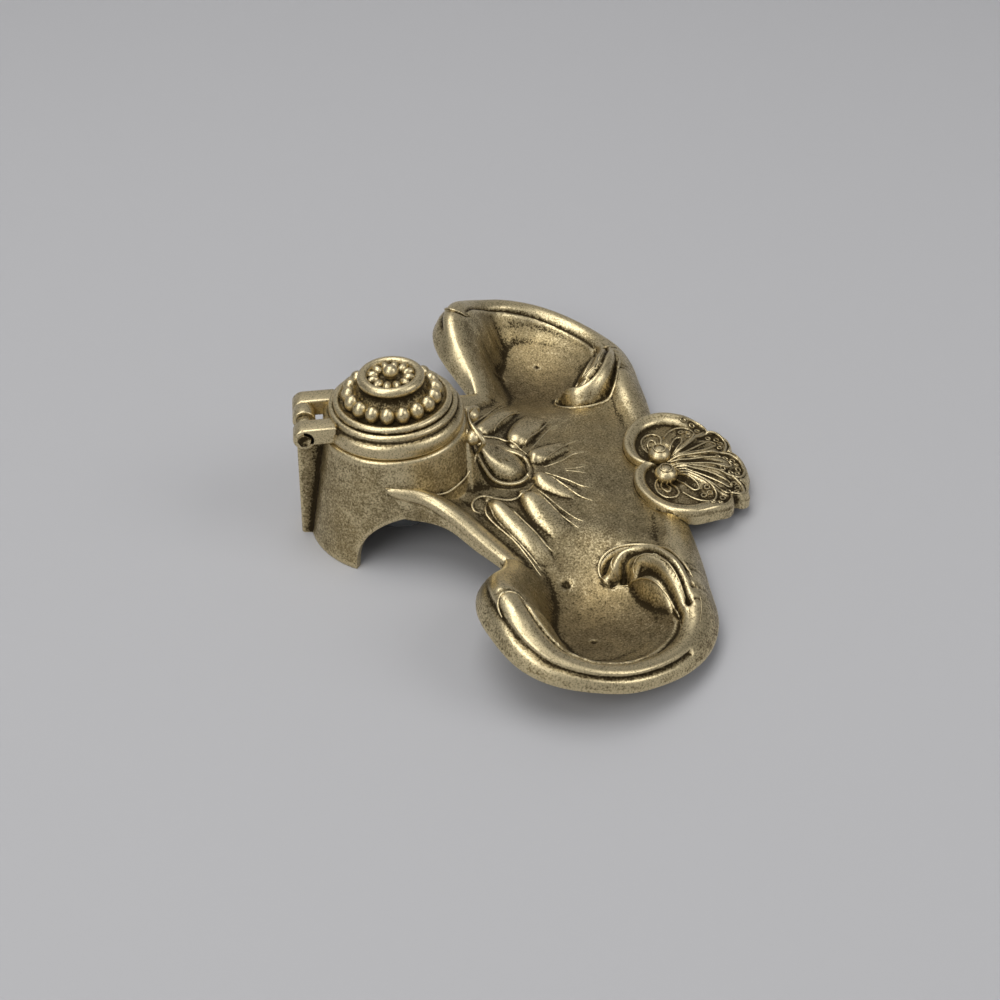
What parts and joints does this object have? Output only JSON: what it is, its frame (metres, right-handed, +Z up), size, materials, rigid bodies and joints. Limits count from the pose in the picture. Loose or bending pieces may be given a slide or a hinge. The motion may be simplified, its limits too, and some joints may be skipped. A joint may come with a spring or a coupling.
{
  "type": "desk inkstand",
  "caption": "Cast brass desk inkstand: scrolled twin-bowl pen tray, raised well housing with a hinged domed lid over a lift-out ink pot, and a palmette shell at the front.",
  "frame": {"origin": "on the desk under the middle of the footprint, between the hinge pillar's foot and the shell's front lobe", "axes": "+Z up, +Y from the shell at the front to the hinge at the back, X across the two bowls; the plane X = 0 is the plane of symmetry"},
  "size_m": [0.212, 0.1544, 0.0613],
  "materials": {
    "tray_brass": "aged, satin",
    "housing_brass": "aged, satin",
    "shell_brass": "aged, dark in the flutes",
    "lid_brass": "aged, bright on the mouldings",
    "button_brass": "worn bright",
    "pin_brass": "aged, peened ends",
    "pot_glaze": "dark grey glaze"
  },
  "bodies": {
    "stand": {"tray": "tray_brass", "well_housing": "housing_brass", "shell_mount": "shell_brass", "hinge_pin": "pin_brass"},
    "lid": {"lid": "lid_brass", "lid_button": "button_brass"},
    "pot": {"ink_pot": "pot_glaze"}
  },
  "joints": [
    {"name": "lid_hinge", "type": "hinge", "parent": "stand", "child": "lid", "pos_m": [0, 0.0723, 0.0431], "axis": [-1, 0, 0], "range_deg": [0, 210]},
    {"name": "pot_lift", "type": "slide", "parent": "stand", "child": "pot", "axis": [0, 0, 1], "range_m": [0, 0.0025]}
  ]
}
